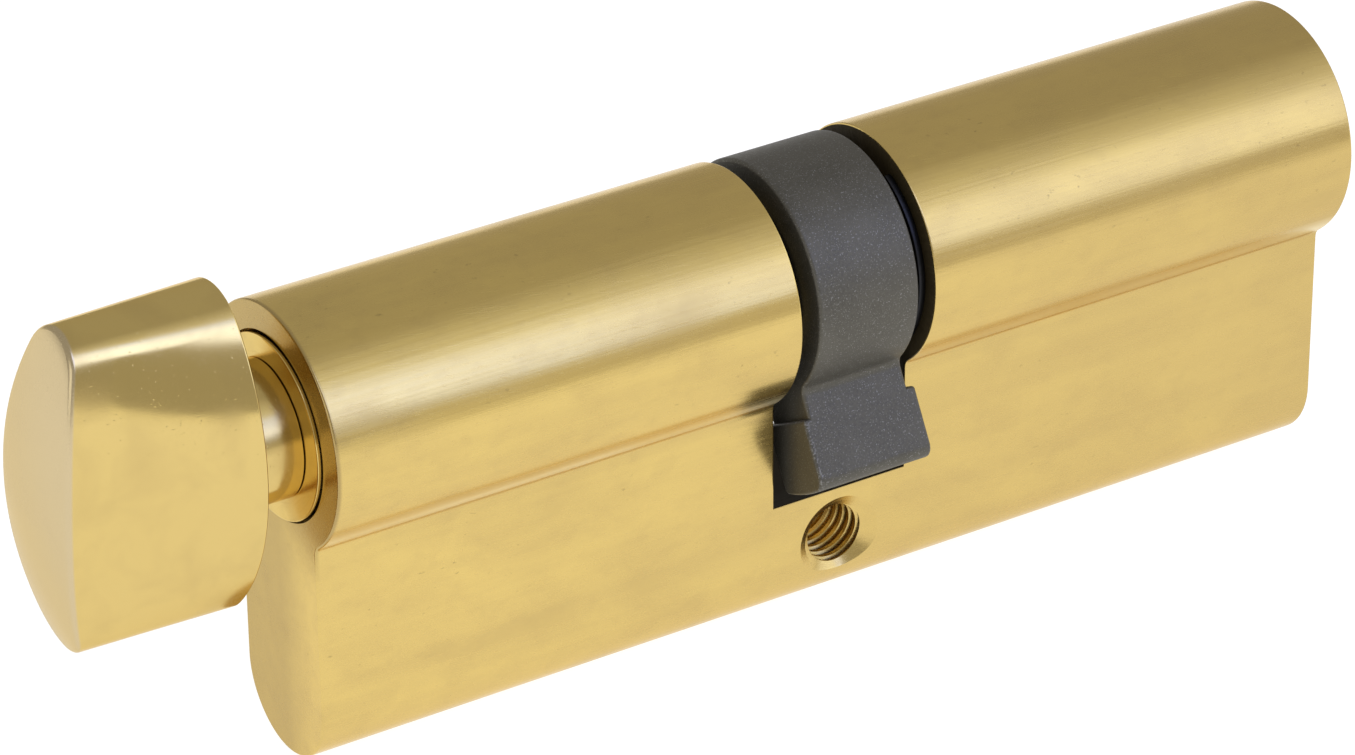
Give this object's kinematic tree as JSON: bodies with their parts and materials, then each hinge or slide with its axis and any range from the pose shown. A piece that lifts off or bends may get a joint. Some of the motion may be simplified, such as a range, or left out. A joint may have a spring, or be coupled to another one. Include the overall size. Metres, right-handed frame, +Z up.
{
  "type": "euro profile lock cylinder",
  "caption": "Euro profile lock cylinder with a keyed half, a thumbturn half and a central cam lever, held in a mortice lock by a screw into its flange.",
  "frame": {"origin": "on the axis that both plugs and the cam turn about, straight above the fixing screw hole", "axes": "+X along the plug axis from the thumbturn to the key end, +Z up from the flange to the barrel, +Y across the flange, along the fixing screw"},
  "size_m": [0.0988, 0.0176, 0.0365],
  "materials": {
    "satin_brass": "satin machined brass with fine lengthwise lines",
    "plug_brass": "turned brass",
    "polished_brass": "polished brass",
    "sintered_steel": "dark, fine-grained sintered steel",
    "clutch_steel": "tumbled steel",
    "spring_steel": "bright drawn wire",
    "black_steel": "oil-blackened spring steel",
    "pin_nickel_silver": "turned nickel silver"
  },
  "bodies": {
    "housing": {"cylinder_body": "satin_brass", "chamber_plug_1": "satin_brass", "chamber_plug_2": "satin_brass", "chamber_plug_3": "satin_brass", "chamber_plug_4": "satin_brass", "chamber_plug_5": "satin_brass", "pin_spring_1": "spring_steel", "pin_spring_2": "spring_steel", "pin_spring_3": "spring_steel", "pin_spring_4": "spring_steel", "pin_spring_5": "spring_steel"},
    "key_side": {"key_plug": "plug_brass", "circlip_key_side": "black_steel"},
    "turn_side": {"thumbturn_plug": "plug_brass", "thumbturn_knob": "polished_brass", "knob_grub_screw": "black_steel", "circlip_turn_side": "black_steel"},
    "cam": {"cam": "sintered_steel", "clutch_turn_side": "clutch_steel", "clutch_spring": "spring_steel"},
    "sliding_clutch": {"clutch_key_side": "clutch_steel"},
    "driver_1": {"driver_pin_1": "pin_nickel_silver"},
    "key_pin_1": {"key_pin_1": "pin_nickel_silver"},
    "driver_2": {"driver_pin_2": "pin_nickel_silver"},
    "key_pin_2": {"key_pin_2": "pin_nickel_silver"},
    "driver_3": {"driver_pin_3": "pin_nickel_silver"},
    "key_pin_3": {"key_pin_3": "pin_nickel_silver"},
    "driver_4": {"driver_pin_4": "pin_nickel_silver"},
    "key_pin_4": {"key_pin_4": "pin_nickel_silver"},
    "driver_5": {"driver_pin_5": "pin_nickel_silver"},
    "key_pin_5": {"key_pin_5": "pin_nickel_silver"}
  },
  "joints": [
    {"name": "key_plug_turn", "type": "hinge", "parent": "housing", "child": "key_side", "pos_m": [0, 0, 0], "axis": [1, 0, 0], "range_deg": [-360, 360]},
    {"name": "thumbturn_turn", "type": "hinge", "parent": "housing", "child": "turn_side", "pos_m": [0, 0, 0], "axis": [1, 0, 0], "continuous": true},
    {"name": "cam_turn", "type": "hinge", "parent": "housing", "child": "cam", "pos_m": [0, 0, 0], "axis": [1, 0, 0], "continuous": true},
    {"name": "clutch_slide", "type": "slide", "parent": "cam", "child": "sliding_clutch", "axis": [-1, 0, 0], "range_m": [0, 0.0016], "stiffness_N_per_m": 20, "deforming": ["clutch_spring"]},
    {"name": "driver_1_slide", "type": "slide", "parent": "housing", "child": "driver_1", "axis": [0, 0, 1], "range_m": [-0.0007, 0.0028], "stiffness_N_per_m": 20, "deforming": ["pin_spring_1"]},
    {"name": "key_pin_1_slide", "type": "slide", "parent": "key_side", "child": "key_pin_1", "axis": [0, 0, 1], "range_m": [-0.0007, 0.0028]},
    {"name": "driver_2_slide", "type": "slide", "parent": "housing", "child": "driver_2", "axis": [0, 0, 1], "range_m": [-0.0022, 0.0013], "stiffness_N_per_m": 20, "deforming": ["pin_spring_2"]},
    {"name": "key_pin_2_slide", "type": "slide", "parent": "key_side", "child": "key_pin_2", "axis": [0, 0, 1], "range_m": [-0.0022, 0.0013]},
    {"name": "driver_3_slide", "type": "slide", "parent": "housing", "child": "driver_3", "axis": [0, 0, 1], "range_m": [-0.0014, 0.0021], "stiffness_N_per_m": 20, "deforming": ["pin_spring_3"]},
    {"name": "key_pin_3_slide", "type": "slide", "parent": "key_side", "child": "key_pin_3", "axis": [0, 0, 1], "range_m": [-0.0014, 0.0021]},
    {"name": "driver_4_slide", "type": "slide", "parent": "housing", "child": "driver_4", "axis": [0, 0, 1], "range_m": [-0.0029, 0.0006], "stiffness_N_per_m": 20, "deforming": ["pin_spring_4"]},
    {"name": "key_pin_4_slide", "type": "slide", "parent": "key_side", "child": "key_pin_4", "axis": [0, 0, 1], "range_m": [-0.0029, 0.0006]},
    {"name": "driver_5_slide", "type": "slide", "parent": "housing", "child": "driver_5", "axis": [0, 0, 1], "range_m": [-0.0011, 0.0024], "stiffness_N_per_m": 20, "deforming": ["pin_spring_5"]},
    {"name": "key_pin_5_slide", "type": "slide", "parent": "key_side", "child": "key_pin_5", "axis": [0, 0, 1], "range_m": [-0.0011, 0.0024]}
  ],
  "couplings": [
    {"joint": "cam_turn", "follows": "thumbturn_turn", "ratio": 1},
    {"joint": "key_pin_1_slide", "follows": "driver_1_slide", "ratio": 1},
    {"joint": "key_pin_2_slide", "follows": "driver_2_slide", "ratio": 1},
    {"joint": "key_pin_3_slide", "follows": "driver_3_slide", "ratio": 1},
    {"joint": "key_pin_4_slide", "follows": "driver_4_slide", "ratio": 1},
    {"joint": "key_pin_5_slide", "follows": "driver_5_slide", "ratio": 1}
  ]
}
